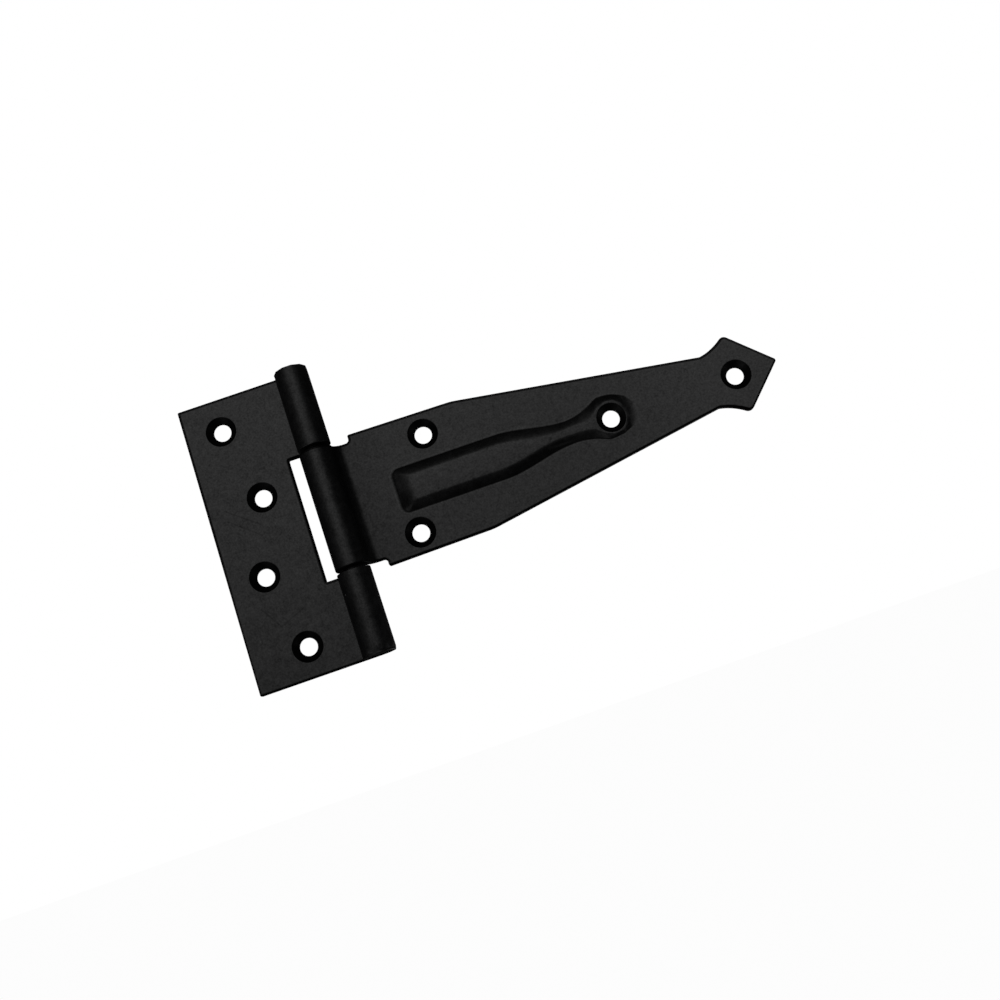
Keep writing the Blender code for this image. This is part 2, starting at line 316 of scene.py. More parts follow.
def edge_rings(skin, corners, spacing, side, radius):
    """Rounds the punched edge with rings from the edge inwards.

    Painted shade darkens the rounding and a line just inside it, most along the edges that look up or
    left; a line of painted highlight lies inside that.
    Returns the first ring, the outline and the innermost ring.
    """
    pieces = pieces_of(rounded(corners), spacing)
    first = None
    for k in range(EDGE_STEPS + 1):
        angle = math.pi / 2 * k / EDGE_STEPS
        ring = divide(rounded(inset(corners, radius * (1 - math.cos(angle)))), pieces)
        drop = radius * (1 - math.sin(angle))
        # Painted shade on the front's rounding
        dark = (1.0 if k < EDGE_STEPS else 0.7) if side > 0 else 0.0
        made = skin.loop(ring, side * (HALF_SHEET - drop), 0.0, dark)
        first = first or made
    # Painted shade on a line inside the rounding, less where the edge faces down or right, fading inwards
    # most where it faces up or left
    line = divide(rounded(inset(corners, radius + SHADE_LINE)), pieces)
    outward = (ring - line) / np.linalg.norm(ring - line, axis=1)[:, None]
    down = np.clip(-1.5 * outward[:, 1], 0.0, 1.0)
    right = np.clip(1.5 * outward[:, 0], 0.0, 1.0)
    line_shade = np.clip(0.95 - down - 0.45 * right, 0.0, 1.0)
    skin.loop(line, side * HALF_SHEET, 0.0, line_shade if side > 0 else 0.0)
    upper_left = np.clip(1.5 * np.maximum(outward[:, 1], -outward[:, 0]), 0.0, 1.0) * (1 - down)
    fade = divide(rounded(inset(corners, radius + SHADE_FADE)), pieces)
    skin.loop(fade, side * HALF_SHEET, 0.0, 0.75 * upper_left if side > 0 else 0.0)
    # A line of painted highlight
    highlight_ring = divide(rounded(inset(corners, radius + HIGHLIGHT_LINE)), pieces)
    skin.loop(highlight_ring, side * HALF_SHEET, 0.0, -0.12 if side > 0 else 0.0)
    support = divide(rounded(inset(corners, radius + FLAT_RING)), pieces)
    skin.loop(support, side * HALF_SHEET)
    return first, divide(rounded(corners), pieces), support


def sink_rings(skin, hole, lift, sink):
    """A countersink with a soft lip, from the face down to the screw hole."""
    # Each ring is radius, drop, wear and painted shading: painted shade down the countersink, a line of
    # painted highlight just outside its lip
    rings = [
        (sink + 0.24, 0.0, 0.0, 0.0),
        (sink + 0.16, 0.0, 0.0, -0.1),
        (sink + 0.06, 0.03, 0.0, 0.5),
        (sink - 0.05, 0.10, 0.0, 0.9),
        (sink - 0.18, 0.20, 0.0, 0.9),
    ]
    throat = SCREW + 0.22
    for k in (0.25, 0.5, 0.75):
        radius = blend(sink - 0.18, throat, k)
        rings.append((radius, sink - radius, 0.0, 0.8))
    depth = sink - throat
    rings += [
        (throat, depth + 0.04, 0.0, 0.9),
        (SCREW + 0.08, depth + 0.14, 0.5, 0.9),
        (SCREW, depth + 0.26, 0.3, 1.0),
    ]
    last = None
    for radius, drop, wear, painted_shading in rings:
        ring = circle(hole, radius)
        face = ease((radius - SCREW) / (sink + 0.1 - SCREW))
        lifts = np.array([blend(lift(*hole), lift(*p), face) for p in ring])
        last = skin.loop(ring, HALF_SHEET + lifts - drop, wear, painted_shading)
    return last


def back_hole_rings(skin, hole, lift):
    """The screw hole's rim on the back."""
    last = None
    for radius, drop in ((SCREW + 0.30, 0.0), (SCREW + 0.12, 0.0), (SCREW + 0.03, 0.04), (SCREW, 0.16)):
        ring = circle(hole, radius)
        lifts = np.array([lift(*p) for p in ring])
        last = skin.loop(ring, -HALF_SHEET + lifts + drop)
    return last


def fill(skin, outline, holes, bands, level_at, step_at):
    """Spots between the loops: a lattice that keeps clear of every loop, hole and pressed wall."""
    tree = KDTree(len(skin.points))
    for i, p in enumerate(skin.points):
        tree.insert((p[0], p[1], 0), i)
    tree.balance()
    low, high = outline.min(axis=0), outline.max(axis=0)
    found = []
    x = low[0]
    while x < high[0]:
        step_x, step_y = step_at(x)
        rows = max(1, round((high[1] - low[1]) / step_y))
        for k in range(rows + 1):
            found.append((x, low[1] + (high[1] - low[1]) * k / rows, step_x))
        x += step_x
    found = np.array(found)
    keep = inside(found[:, :2], outline)
    for outer, inner in bands:
        keep &= ~(inside(found[:, :2], outer) & ~inside(found[:, :2], inner))
    for x, y in holes:
        keep &= np.hypot(found[:, 0] - x, found[:, 1] - y) > SINK + HOLE_ROOM
    for x, y, step in found[keep]:
        if tree.find((x, y, 0))[2] > step * RING_ROOM:
            skin.spot((x, y), level_at(x, y))


def triangulate(skin, outline, holes):
    """Triangles over one side, without the screw holes."""
    flat = [Vector(p[:2]) for p in skin.points]
    verts, _, faces, origin, _, _ = delaunay_2d_cdt(flat, skin.edges, [], 0, 1e-6)
    index = [o[0] for o in origin]
    faces = np.array(faces)
    flat = np.array([(v.x, v.y) for v in verts])
    middle = flat[faces].mean(axis=1)
    keep = inside(middle, outline)
    for x, y in holes:
        keep &= np.hypot(middle[:, 0] - x, middle[:, 1] - y) > SCREW * math.cos(math.pi / CIRCLE)
    return [[index[i] for i in face] for face in faces[keep]]


def build_sheet(name, curve, front_sign, corners, spacing, holes, walls, step_at, crown, curled):
    """Both faces of a pressed sheet, joined along its edge and through its screw holes."""
    sides = []
    for side in (1, -1):
        skin = Skin()
        radius = EDGE if side > 0 else BACK_EDGE
        edge, outline, support = edge_rings(skin, corners, spacing, side, radius)
        rims = []
        for hole in holes:
            on_crown = crown is not None and inside(np.array([hole]), crown)[0]
            lift = crown_height if on_crown else lambda x, z: 0.0
            if side > 0:
                rims.append(sink_rings(skin, hole, lift, PAD_SINK if on_crown else SINK))
            else:
                rims.append(back_hole_rings(skin, hole, lift))
        for ring, heights, wear, painted_shading in walls:
            skin.loop(ring, side * HALF_SHEET + heights, wear, painted_shading)
        bands = [(walls[0][0], walls[-1][0])] if walls else []

        def level_at(x, y):
            on_crown = crown is not None and inside(np.array([(x, y)]), crown)[0]
            if not on_crown:
                return side * HALF_SHEET
            edge = np.hypot(crown[:, 0] - x, crown[:, 1] - y).min()
            rise = 1 - (1 - min(edge / DOME_REACH, 1.0)) ** 2
            dome = CROWN_DOME * rise * ease((PAD_START - x) / DOME_FADE)
            return side * HALF_SHEET + crown_height(x, y) + dome

        fill(skin, support, holes, bands, level_at, step_at)
        sides.append((skin, triangulate(skin, outline, holes), [edge] + rims))
    points, faces, wear, painted_shading, curl = [], [], [], [], []
    offsets = []
    for skin, triangles, _ in sides:
        offset = len(points)
        offsets.append(offset)
        for s, w, level, worn, shade_paint in skin.points:
            middle, front = curve(s)
            place = middle + front * level
            points.append((AXIS.x + place.x * MM, AXIS.y + place.y * MM, w * MM))
            wear.append(worn)
            painted_shading.append(shade_paint)
            curl.append(curled(s))
        flip = (offset == 0) == (front_sign > 0)
        for a, b, c in triangles:
            face = (a + offset, b + offset, c + offset)
            faces.append(face[::-1] if flip else face)
    for (front, count), (back, _) in zip(sides[0][2], sides[1][2]):
        for i in range(count):
            j = (i + 1) % count
            a, b = front + i, front + j
            c, d = back + j + offsets[1], back + i + offsets[1]
            faces.append((a, b, c, d))
    return finish_mesh(name, points, faces, wear, painted_shading, curl)


def finish_mesh(name, points, faces, wear, painted_shading, curl):
    """Outward faces, smooth shading, the material's masks, and an object."""
    mesh = bpy.data.meshes.new(name)
    mesh.from_pydata(points, [], faces)
    for label, values in (("wear", wear), ("painted_shading", painted_shading), ("curl", curl)):
        layer = mesh.attributes.new(label, "FLOAT", "POINT")
        layer.data.foreach_set("value", np.array(values, np.float32))
    bm = bmesh.new()
    bm.from_mesh(mesh)
    loose = [v for v in bm.verts if not v.link_faces]
    bmesh.ops.delete(bm, geom=loose, context="VERTS")
    bmesh.ops.recalc_face_normals(bm, faces=bm.faces)
    bm.to_mesh(mesh)
    bm.free()
    mesh.shade_smooth()
    piece = bpy.data.objects.new(name, mesh)
    bpy.context.scene.collection.objects.link(piece)
    return piece


# ---------------------------------------------------------------- jamb leaf
def jamb_corners():
    """The leaf and its two knuckle tabs, laid out flat; s grows towards the curled ends."""
    end = JAMB_TURN / 180 * math.pi * MID
    return [
        (-LEAF_REACH, -LEAF_TOP, LEAF_CORNER),
        (end, -LEAF_TOP, CURL_CORNER),
        (end, -WINDOW_HALF, CURL_CORNER),
        (-WINDOW_REACH, -WINDOW_HALF, WINDOW_CORNER),
        (-WINDOW_REACH, WINDOW_HALF, WINDOW_CORNER),
        (end, WINDOW_HALF, CURL_CORNER),
        (end, LEAF_TOP, CURL_CORNER),
        (-LEAF_REACH, LEAF_TOP, LEAF_CORNER),
    ]


def jamb_step(x):
    """Lattice spacing along and across the sheet."""
    return (CURLED_STEP, CURLED_ACROSS) if x > -0.8 else (JAMB_STEP, JAMB_STEP)


jamb = build_sheet(
    "jamb_leaf_skin",
    jamb_curve,
    1,
    jamb_corners(),
    lambda p: CURLED_STEP if p.x > -0.6 else JAMB_EDGE_STEP,
    JAMB_HOLES,
    [],
    jamb_step,
    None,
    # The curled knuckle, where the coating's sheen is lowered as painted shade and its roughness raised
    lambda s: min(1.0, max(0.0, s / 2)),
)


# ---------------------------------------------------------------- strap leaf
def strap_corners():
    """The strap laid out flat."""
    start = BEND_X - BEND_LENGTH - STRAP_TURN / 180 * math.pi * MID
    half = [
        (start, TAB_HALF, TAB_CORNER),
        (SHOULDER, TAB_HALF, SHOULDER_FILLET),
        (SHOULDER, SHOULDER_HALF, SHOULDER_CORNER),
        (BEND_START, BEND_HALF, BEND_RADIUS),
        (NECK_START, NECK_HALF, NECK_CORNER),
    ]
    run, rise = BARB_START - NECK_START, BARB_HALF - NECK_HALF
    bend = rise / run - BARB_SLOPE_START
    for i in range(1, BARB_STEPS - 2):
        share = i / BARB_STEPS
        widening = (BARB_SLOPE_START * share + bend * share * share) * run
        half.append((NECK_START + run * share, NECK_HALF + widening, 0))
    half += [(BARB_START, BARB_HALF, BARB_CORNER), (STRAP_END + TIP_BEYOND, 0, TIP_CORNER)]
    lower = [(x, -y, radius) for x, y, radius in reversed(half[:-1])]
    return (half + lower)[::-1]


def crown_height(x, z):
    """The rib's height over the sheet, which sinks from the taper to the pad and on to the nose."""
    slant = PAD_SLANT * (z + PAD_DROP) * ease((x - SLANT_START) / SLANT_RUN)
    if x > PAD_START:
        share = min(1.0, (x - PAD_START) / (PAD[-1][1][0] - PAD_START))
        return blend(PAD_HEIGHT, PAD_NOSE_HEIGHT, share ** 4) + slant
    fall = ease((x - RIB_TAPER_START) / (PAD_START - RIB_TAPER_START))
    return blend(RIB_HEIGHT, PAD_HEIGHT, fall) + slant


def rib_side(side, share):
    """One side of the rib, 1 or -1, at a share of its walls, as (x, z, radius) corners."""
    start = RIB_START + RIB_END_WALL * share
    half = RIB_HALF - RIB_WALL * share
    middle = RIB_DROP + RIB_LEAN * share
    corners = [
        (start, -middle, 0),
        (start, side * half - middle, max(RIB_CORNER - RIB_WALL * share, RIB_CORNER / 4)),
    ]
    for i in range(TAPER_STEPS):
        along = i / TAPER_STEPS
        foot = blend(RIB_HALF, RIB_NECK_HALF, ease(along))
        x = blend(RIB_TAPER_START, RIB_NECK, along)
        swell = RIB_UPPER_SWELL if side > 0 else RIB_LOWER_SWELL
        wall = blend(RIB_WALL, RIB_NECK_WALL, along) + swell * math.sin(math.pi * along)
        half = foot - wall * share
        middle = blend(RIB_DROP, RIB_NECK_DROP, along) + blend(RIB_LEAN, RIB_NECK_LEAN, along) * share
        corners.append((x, side * half - middle, 0))
    for i in range(FLARE_STEPS):
        along = i / FLARE_STEPS
        x = blend(RIB_NECK, PAD_START, along)
        foot = RIB_NECK_HALF + (x - RIB_NECK) ** 2 / (2 * FLARE_RADIUS)
        half = blend(foot, np.interp(x, *zip(*PAD_APPROACH)), share)
        middle = blend(RIB_NECK_DROP, 0, along) + blend(RIB_NECK_LEAN, PAD_DROP, along) * share
        corners.append((x, side * half - middle, 0))
    middle = PAD_DROP * share
    for foot, land, radii in PAD:
        x, half = blend(foot[0], land[0], share), blend(foot[1], land[1], share)
        corners.append((x, side * half - middle, blend(*radii, share)))
    return corners


def rib_outline(share):
    """The rib's outline at a share of its walls: 0 is its foot and 1 is its crown."""
    upper = rounded(rib_side(1, share), closed=False)[1:-1]
    lower = rounded(rib_side(-1, share), closed=False)[1:-1]
    return upper + lower[::-1]


def wall_rise(share, firm, nose):
    """The pressed wall's share of the height: a tight fillet at the foot, then round into the crown,
    in a steady slope up to it where firm is 1, or dished where nose is 1."""
    tight = 0.09
    if share <= -tight:
        return 0.0
    at = min(1.0, max(share, tight))
    steady = 1 - max(0.0, 1 - 1.12 * at) ** 1.25
    rise = blend(blend(math.sin(at * math.pi / 2), steady, firm), at ** 1.5, nose)
    return rise * ((share + tight) / (2 * tight)) ** 2 if share < tight else rise


def firmness(x, z):
    """The upper wall runs up steadier than the lower one, and both steadier yet at the pad."""
    start = 0.7 if z > -1.0 else 0.2
    return blend(start, 1.0, ease((x - SLANT_START) / SLANT_RUN))


# The rings over the pressed wall, from just outside its foot (0) to its crown (1)
SHARES = [
    -0.22, -0.13, -0.09, -0.045, 0.0, 0.045, 0.09, 0.16,
    0.24, 0.34, 0.45, 0.57, 0.70, 0.82, 0.92, 1.0,
]


def wall_shade(x, z):
    """Painted shade on the wall: darkest on the pad's upper side and along the lower side."""
    upper = blend(0.2, 0.5, ease((x - 80) / 8)) * ease((102 - x) / 1.5)
    lower = blend(0.65, 0.4, ease((x - 23) / 5)) * ease((93 - x) / 4)
    return blend(lower, upper, ease((z + 3.5) / 3))


def rib_walls():
    """Rings over the pressed wall, all divided alike so that they run side by side."""
    pieces = pieces_of(rib_outline(0), lambda p: RIB_STEP)
    walls = []
    for share in SHARES:
        ring = divide(rib_outline(share), pieces)
        nose = [ease((x - 98.5) / 2) * ease((3 - z) / 2) for x, z in ring]
        rises = [wall_rise(share, firmness(x, z), dished) for (x, z), dished in zip(ring, nose)]
        heights = np.array([crown_height(x, z) for x, z in ring]) * rises
        # Painted highlight in a band just outside the foot and painted shade along the foot, both fading
        # at the nose; then painted shade over the walls
        painted_shading = -0.28 if -0.15 < share < -0.1 else 0.9 * max(0.0, 1 - abs(share - 0.03) / 0.12)
        painted_shading = painted_shading * np.array([1 - 0.9 * ease((x - 98) / 3) for x in ring[:, 0]])
        if share > 0:
            shade = ease(share / 0.12) * ease((1 - share) / 0.2)
            painted_shading = np.maximum(painted_shading, [shade * wall_shade(x, z) for x, z in ring])
        walls.append((ring, heights, 0.0, painted_shading))
    return walls


def strap_step(x):
    """Lattice spacing along and across the sheet."""
    return (CURLED_STEP, CURLED_ACROSS) if x < BEND_X + 0.8 else (STRAP_STEP, STRAP_STEP)


rib_rings = rib_walls()
strap = build_sheet(
    "strap_leaf_skin",
    strap_curve,
    -1,
    strap_corners(),
    lambda p: CURLED_STEP if p.x < BEND_X + 0.6 else STRAP_EDGE_STEP,
    STRAP_HOLES,
    rib_rings,
    strap_step,
    rib_rings[-1][0],
    # The strap's curl and its root, fading out by 24 mm, where the coating's sheen is lowered as painted
    # shade and its roughness raised
    lambda s: min(1.0, max(0.0, (24 - s) / 16)),
)


# ---------------------------------------------------------------- pin
def build_pin():
    """A rod with its ends dressed round, and a shallow ring left by the staking punch."""
    profile = [(0.0, PIN_END - 0.14), (0.7, PIN_END - 0.12), (1.0, PIN_END - 0.03), (1.25, PIN_END)]
    for i in range(PIN_ROUND_STEPS + 1):
        angle = math.pi / 2 * i / PIN_ROUND_STEPS
        radius = PIN - PIN_ROUND + PIN_ROUND * math.sin(angle)
        profile.append((radius, PIN_END - PIN_ROUND * (1 - math.cos(angle))))
    side_end = PIN_END - PIN_ROUND
    stations = [side_end - side_end * 2 * k / PIN_STATIONS for k in range(1, PIN_STATIONS)]
    upper = profile + [(PIN, z) for z in stations]
    whole = upper + [(r, -z) for r, z in reversed(profile)]
    points, faces, wear = [], [], []
    count = PIN_SIDES
    for r, z in whole:
        for k in range(count if r > 0 else 1):
            a = 2 * math.pi * k / count
            points.append((AXIS.x + r * math.cos(a) * MM, AXIS.y + r * math.sin(a) * MM, z * MM))
            wear.append(0.7 if 1.0 < r < PIN - 0.1 else 0.0)
    starts, at = [], 0
    for r, _ in whole:
        starts.append(at)
        at += count if r > 0 else 1
    for i in range(len(whole) - 1):
        a, b = starts[i], starts[i + 1]
        for k in range(count):
            j = (k + 1) % count
            if whole[i][0] == 0:
                faces.append((a, b + k, b + j))
            elif whole[i + 1][0] == 0:
                faces.append((a + k, b, a + j))
            else:
                faces.append((a + k, b + k, b + j, a + j))
    nothing = [0.0] * len(points)
    return finish_mesh("hinge_pin_skin", points, faces, wear, nothing, nothing)


pin = build_pin()


# ---------------------------------------------------------------- satin black coating
class Nodes:
    """Short hand for node trees."""

    def __init__(self, tree):
        self.tree = tree
        tree.nodes.clear()

    def new(self, kind, inputs=None, **settings):
        node = self.tree.nodes.new(kind)
        for key, value in settings.items():
            setattr(node, key, value)
        for key, value in (inputs or {}).items():
            if isinstance(value, bpy.types.NodeSocket):
                self.tree.links.new(value, node.inputs[key])
            else:
                node.inputs[key].default_value = value
        return node

    def math(self, operation, a, b=0.0, c=0.0, clamp=False):
        node = self.new("ShaderNodeMath", {0: a, 1: b, 2: c}, operation=operation, use_clamp=clamp)
        return node.outputs[0]

    def curve(self, angle, stops):
        """A smooth curve over an angle in radians, from (degrees, value) stops."""
        low, high = stops[0][0], stops[-1][0]
        node = self.new("ShaderNodeFloatCurve")
        line = node.mapping.curves[0]
        line.points[0].location = (0.0, stops[0][1])
        line.points[1].location = (1.0, stops[-1][1])
        for degrees, value in stops[1:-1]:
            line.points.new((degrees - low) / (high - low), value)
        node.mapping.update()
        share = self.remap(angle, math.radians(low), math.radians(high), 0.0, 1.0)
        self.tree.links.new(share, node.inputs["Value"])
        return node.outputs[0]

    def noise(self, where, scale, detail=2.0, rough=0.5):
        inputs = {"Vector": where, "Scale": scale, "Detail": detail, "Roughness": rough}
        return self.new("ShaderNodeTexNoise", inputs).outputs[0]

    def remap(self, value, a, b, c, d):
        inputs = {"Value": value, "From Min": a, "From Max": b, "To Min": c, "To Max": d}
        return self.new("ShaderNodeMapRange", inputs, clamp=True).outputs[0]


# Rubs across the jamb leaf's face, from one (x, z) to another, in millimetres from the frame's origin
RUBS = (
    ((-6.9, -22.9), (-2.4, -30.1)),
    ((-2.4, -30.1), (6.5, -26.5)),
    ((-9.2, 11.6), (1.3, 3.3)),
    ((-9.2, 8.0), (0.1, 0.2)),
)


def rubbed(n, coords, rubs):
    """A mask of thin rubs on the front face."""
    axes = n.new("ShaderNodeSeparateXYZ", {0: coords})
    mask = 0.0
    for start, end in rubs:
        dx, dz = (end[0] - start[0]) * MM, (end[1] - start[1]) * MM
        x = n.math("SUBTRACT", axes.outputs[0], start[0] * MM)
        z = n.math("SUBTRACT", axes.outputs[2], start[1] * MM)
        reach = dx * dx + dz * dz
        along = n.math("MULTIPLY_ADD", x, dx / reach, n.math("MULTIPLY", z, dz / reach), clamp=True)
        off_x = n.math("MULTIPLY_ADD", along, -dx, x)
        off_z = n.math("MULTIPLY_ADD", along, -dz, z)
        apart = n.math("SQRT", n.math("MULTIPLY_ADD", off_x, off_x, n.math("MULTIPLY", off_z, off_z)))
        mask = n.math("MAXIMUM", mask, n.remap(apart, 0.08 * MM, 0.38 * MM, 1.0, 0.0))
    return n.math("MULTIPLY", mask, n.remap(axes.outputs[1], -1.8 * MM, -1.2 * MM, 1.0, 0.0))


def coating(name, seed, base, roughness, rubs=()):
    """Black coating: orange peel, fine grain, cloudy sheen, thin scratches, dust and worn spots.

    The painted shading mask darkens its sheen and tone as painted shade, or raises its sheen a little as
    painted highlight where the mask is negative.
    """
    material = bpy.data.materials.new(name)
    material.use_nodes = True
    n = Nodes(material.node_tree)
    coords = n.new("ShaderNodeTexCoord").outputs["Object"]
    shift = (seed, seed * 0.7, seed * 1.3)
    where = n.new("ShaderNodeMapping", {"Vector": coords, "Location": shift}).outputs[0]
    wear = n.new("ShaderNodeAttribute", attribute_name="wear").outputs["Fac"]
    painted_shading = n.new("ShaderNodeAttribute", attribute_name="painted_shading").outputs["Fac"]
    curl = n.new("ShaderNodeAttribute", attribute_name="curl").outputs["Fac"]
    grain = n.noise(where, 3200.0, 1.0, 0.6)
    mottle = n.noise(where, 1500.0, 0.0, 0.5)
    patches = n.noise(where, 650.0, 0.0, 0.5)
    cloud = n.noise(where, 260.0, 1.0, 0.5)
    broad = n.noise(where, 45.0, 2.0, 0.5)

    scratch = None
    # (turn, scale across, scale along, threshold) of two crossing sets of scratches
    sets = ((0.5, 700.0, 18.0, 0.735), (-0.9, 640.0, 22.0, 0.745))
    for k, (turn, wide, along, cut) in enumerate(sets):
        turned = n.new(
            "ShaderNodeMapping",
            {
                "Vector": where,
                "Rotation": (0.0, turn, 0.0),
                "Scale": (along, 40.0, wide),
                "Location": (k, 0, k),
            },
        ).outputs[0]
        line = n.remap(n.noise(turned, 1.0, 1.0, 0.4), cut, cut + 0.02, 0.0, 1.0)
        patch = n.remap(n.noise(where, 60.0 + 13 * k, 1.0, 0.5), 0.55, 0.68, 0.0, 1.0)
        line = n.math("MULTIPLY", line, patch)
        scratch = line if scratch is None else n.math("MAXIMUM", scratch, line)

    cells = n.new("ShaderNodeTexVoronoi", {"Vector": where, "Scale": 260.0, "Randomness": 1.0})
    near = n.remap(cells.outputs["Distance"], 0.05, 0.08, 1.0, 0.0)
    colour = n.new("ShaderNodeSeparateColor", {0: cells.outputs["Color"]}).outputs[0]
    dust = n.math("MULTIPLY", near, n.remap(colour, 0.965, 0.97, 0.0, 1.0))

    worn = n.math("MULTIPLY", wear, n.remap(n.noise(where, 420.0, 3.0, 0.6), 0.40, 0.62, 0.0, 1.0))

    tone = n.remap(cloud, 0.3, 0.7, 0.8, 1.25)
    tone = n.math("MULTIPLY", tone, n.remap(grain, 0.3, 0.7, 0.75, 1.3))
    # Painted shade: the mask darkens the base colour
    tone = n.math("MULTIPLY", tone, n.remap(painted_shading, 0.0, 1.0, 1.0, 0.35))
    shade = n.new("ShaderNodeCombineColor")
    for channel, part in enumerate(base):
        value = n.math("MULTIPLY", tone, part)
        value = n.math("MULTIPLY_ADD", worn, 0.010, value)
        value = n.math("MULTIPLY_ADD", scratch, 0.012, value)
        value = n.math("MULTIPLY_ADD", dust, 0.10, value)
        n.tree.links.new(value, shade.inputs[channel])

    sheen = n.remap(grain, 0.2, 0.8, -0.10, 0.10)
    for layer, swing in ((mottle, 0.11), (patches, 0.09), (cloud, 0.05), (broad, 0.05)):
        sheen = n.math("ADD", sheen, n.remap(layer, 0.2, 0.8, -swing, swing))
    # Painted shade: less sheen on the curled knuckles and over the strap's root
    sheen = n.math("MULTIPLY_ADD", curl, -0.08, sheen)
    sheen = n.math("ADD", sheen, 0.5)
    # Painted shade where the mask is positive, painted highlight where it is negative
    sheen = n.math("MULTIPLY", sheen, n.math("MULTIPLY_ADD", painted_shading, -0.96, 1.0))

    if rubs:
        sheen = n.math("MULTIPLY", sheen, n.math("MULTIPLY_ADD", rubbed(n, coords, rubs), -0.28, 1.0))

    rough = n.remap(cloud, 0.3, 0.7, roughness - 0.015, roughness + 0.015)
    rough = n.math("ADD", rough, n.remap(patches, 0.3, 0.7, -0.015, 0.015))
    rough = n.math("ADD", rough, n.remap(broad, 0.35, 0.65, -0.01, 0.01))
    rough = n.math("MULTIPLY_ADD", curl, 0.03, rough)
    rough = n.math("MULTIPLY_ADD", worn, -0.05, rough)
    rough = n.math("MULTIPLY_ADD", scratch, 0.10, rough)
    rough = n.math("MULTIPLY_ADD", dust, 0.3, rough)

    height = n.math("MULTIPLY", grain, 0.35)
    height = n.math("MULTIPLY_ADD", mottle, 0.7, height)
    height = n.math("MULTIPLY_ADD", patches, 1.0, height)
    height = n.math("MULTIPLY_ADD", scratch, -0.6, height)
    height = n.math("MULTIPLY_ADD", dust, 1.5, height)
    bump = n.new("ShaderNodeBump", {"Strength": 0.4, "Distance": 0.00003, "Height": height})

    shader = n.new(
        "ShaderNodeBsdfPrincipled",
        {
            "Base Color": shade.outputs[0],
            "Roughness": rough,
            "Specular IOR Level": sheen,
            "Normal": bump.outputs[0],
        },
    )
    out = n.new("ShaderNodeOutputMaterial")
    n.tree.links.new(shader.outputs[0], out.inputs["Surface"])
    return material


jamb_coat = coating("satin_black_jamb_coat", 0.11, (0.0060, 0.0060, 0.0064), 0.34, RUBS)
strap_coat = coating("satin_black_strap_coat", 0.37, (0.0058, 0.0058, 0.0062), 0.34)
pin_coat = coating("black_pin_coat", 0.73, (0.0050, 0.0050, 0.0052), 0.36)
looks = (
    (jamb, "jamb", "jamb_leaf", "jamb_leaf_coating", jamb_coat),
    (strap, "strap", "strap_leaf", "strap_leaf_coating", strap_coat),
    (pin, "jamb", "hinge_pin", "pin_coating", pin_coat),
)
for piece, body, node, slot, material in looks:
    piece.data.materials.append(material)
    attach(piece, body)
    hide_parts(node)


# ---------------------------------------------------------------- studio
# Brightness around the hinge, by direction in degrees. Azimuth 0 is straight in front of the hinge, and
# 90 is beyond the strap's tip.
KEY = 0.90
KEY_AZIMUTH = (
    (-180, 0.01), (-110, 0.01), (-90, 0.010), (-75, 0.018), (-62, 0.04), (-50, 0.07), (-42, 0.12),
    (-34, 0.26), (-26, 0.64), (-18, 0.93), (-10, 1.0), (0, 1.0), (10, 1.0), (18, 0.92), (26, 0.55),
    (34, 0.24), (43, 0.10), (55, 0.04), (80, 0.015), (180, 0.01),
)
KEY_ELEVATION = (
    (-90, 0.0), (-40, 0.004), (-30, 0.02), (-18, 0.07), (-8, 0.17), (0, 0.31), (7, 0.53), (13, 0.83),
    (18, 1.0), (25, 1.0), (30, 0.82), (35, 0.52), (41, 0.24), (48, 0.09), (58, 0.03), (90, 0.01),
)
# How much lower the key reaches on its left than on its right
KEY_TILT = 0.35
# (azimuth, elevation, radius, brightness) of the softer glows around the sides and the back
GLOWS = (
    (138, -34, 18, 1.30),
    (-45, -32, 20, 0.85),
    (90, -28, 18, 0.50),
)
GLOOM = 0.012

# The gridded lamp: its direction and distance from a spot short of the strap's tip, its angle and power
LAMP_AZIMUTH = 16
LAMP_ELEVATION = 13
LAMP_DISTANCE = 0.5
LAMP_SHORT_OF_TIP = 0.015
LAMP_SIZE = 0.06
LAMP_SPREAD = 14
LAMP_POWER = 0.00024

FLOOR = -0.30
FLOOR_HALF = 9
FLOOR_GLOW = 0.98

CAMERA_LENS = 37.6
CAMERA_PLACE = (0.06518, -0.33259, -0.07913)
CAMERA_RIGHT = (0.94473, 0.03217, -0.32626)
CAMERA_UP = (0.32617, -0.19235, 0.92553)
WHITE = (1.0, 1.0, 1.0, 1.0)


def direction(azimuth, elevation):
    """A unit vector towards an azimuth and elevation in degrees."""
    a, e = math.radians(azimuth), math.radians(elevation)
    return math.sin(a) * math.cos(e), -math.cos(a) * math.cos(e), math.sin(e)


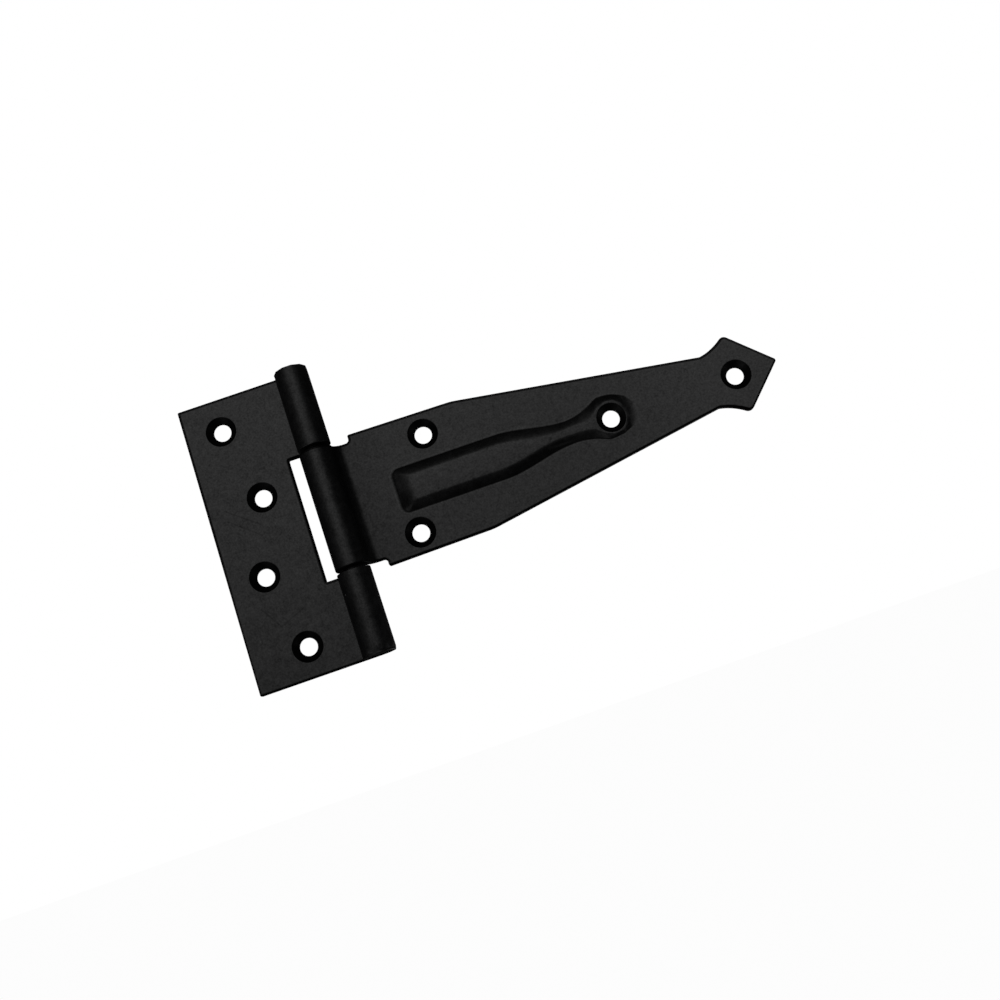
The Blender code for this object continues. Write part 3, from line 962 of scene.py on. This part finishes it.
def build_world():
    """The light around the hinge, and a white background for the camera."""
    world = bpy.data.worlds.new("studio")
    world.use_nodes = True
    bpy.context.scene.world = world
    w = Nodes(world.node_tree)
    look = w.new("ShaderNodeTexCoord").outputs["Generated"]
    axes = w.new("ShaderNodeSeparateXYZ", {0: look})
    azimuth = w.math("ARCTAN2", axes.outputs[0], w.math("MULTIPLY", axes.outputs[1], -1.0))
    elevation = w.math("ARCSINE", axes.outputs[2])
    rightward = w.math("MAXIMUM", azimuth, 0.0)
    height = w.math("MULTIPLY_ADD", rightward, -KEY_TILT, elevation)
    bright = w.math("MULTIPLY", w.curve(azimuth, KEY_AZIMUTH), w.curve(height, KEY_ELEVATION))
    bright = w.math("MULTIPLY_ADD", bright, KEY, GLOOM)
    for side, rise, radius, level in GLOWS:
        dot = w.new("ShaderNodeVectorMath", {0: look, 1: direction(side, rise)}, operation="DOT_PRODUCT")
        fall = 1 / (1 - math.cos(math.radians(radius)))
        glow = w.math("EXPONENT", w.math("MULTIPLY_ADD", dot.outputs["Value"], fall, -fall))
        bright = w.math("MULTIPLY_ADD", glow, level, bright)
    seen = w.new("ShaderNodeLightPath").outputs["Is Camera Ray"]
    dim = w.new("ShaderNodeBackground", {"Color": WHITE, "Strength": bright})
    pale = w.new("ShaderNodeBackground", {"Color": WHITE, "Strength": 1.0})
    mixed = w.new("ShaderNodeMixShader", {0: seen, 1: dim.outputs[0], 2: pale.outputs[0]})
    w.tree.links.new(mixed.outputs[0], w.new("ShaderNodeOutputWorld").inputs["Surface"])


def build_lamp():
    """A gridded lamp that reaches the far half of the strap only."""
    target = Vector((strap_high.x, strap_low.y, 0.0)) - Vector((LAMP_SHORT_OF_TIP, 0.0, 0.0))
    grid = bpy.data.lights.new("tip_grid", "AREA")
    grid.size = LAMP_SIZE
    grid.spread = math.radians(LAMP_SPREAD)
    grid.energy = LAMP_POWER
    lamp = bpy.data.objects.new("tip_grid", grid)
    lamp.location = target + Vector(direction(LAMP_AZIMUTH, LAMP_ELEVATION)) * LAMP_DISTANCE
    lamp.rotation_mode = "QUATERNION"
    lamp.rotation_quaternion = (target - lamp.location).to_track_quat("-Z", "Y")
    lamp.visible_camera = False
    bpy.context.scene.collection.objects.link(lamp)


def build_floor():
    """A pale floor that the camera sees and the hinge doesn't reflect."""
    mesh = bpy.data.meshes.new("floor")
    corners = [(-1, -1), (1, -1), (1, 1), (-1, 1)]
    mesh.from_pydata([(x * FLOOR_HALF, y * FLOOR_HALF, FLOOR) for x, y in corners], [], [(0, 1, 2, 3)])
    floor = bpy.data.objects.new("floor", mesh)
    bpy.context.scene.collection.objects.link(floor)
    material = bpy.data.materials.new("pale_floor")
    material.use_nodes = True
    f = Nodes(material.node_tree)
    glow = f.new("ShaderNodeEmission", {"Color": WHITE, "Strength": FLOOR_GLOW})
    f.tree.links.new(glow.outputs[0], f.new("ShaderNodeOutputMaterial").inputs["Surface"])
    floor.visible_diffuse = False
    floor.visible_glossy = False
    floor.visible_shadow = False
    mesh.materials.append(material)


def build_camera():
    """The camera, from its place and the directions of its right and upper sides."""
    camera = bpy.data.objects.new("camera", bpy.data.cameras.new("camera"))
    camera.data.sensor_width = 36.0
    camera.data.lens = CAMERA_LENS
    camera.data.clip_start = 0.01
    camera.data.clip_end = 100.0
    right = Vector(CAMERA_RIGHT)
    back = right.cross(Vector(CAMERA_UP)).normalized()
    up = back.cross(right).normalized()
    turn = Matrix((right, up, back)).transposed()
    camera.matrix_world = Matrix.Translation(Vector(CAMERA_PLACE)) @ turn.to_4x4()
    bpy.context.scene.collection.objects.link(camera)
    bpy.context.scene.camera = camera


build_world()
build_lamp()
build_floor()
bpy.context.scene.view_settings.view_transform = "Standard"
build_camera()
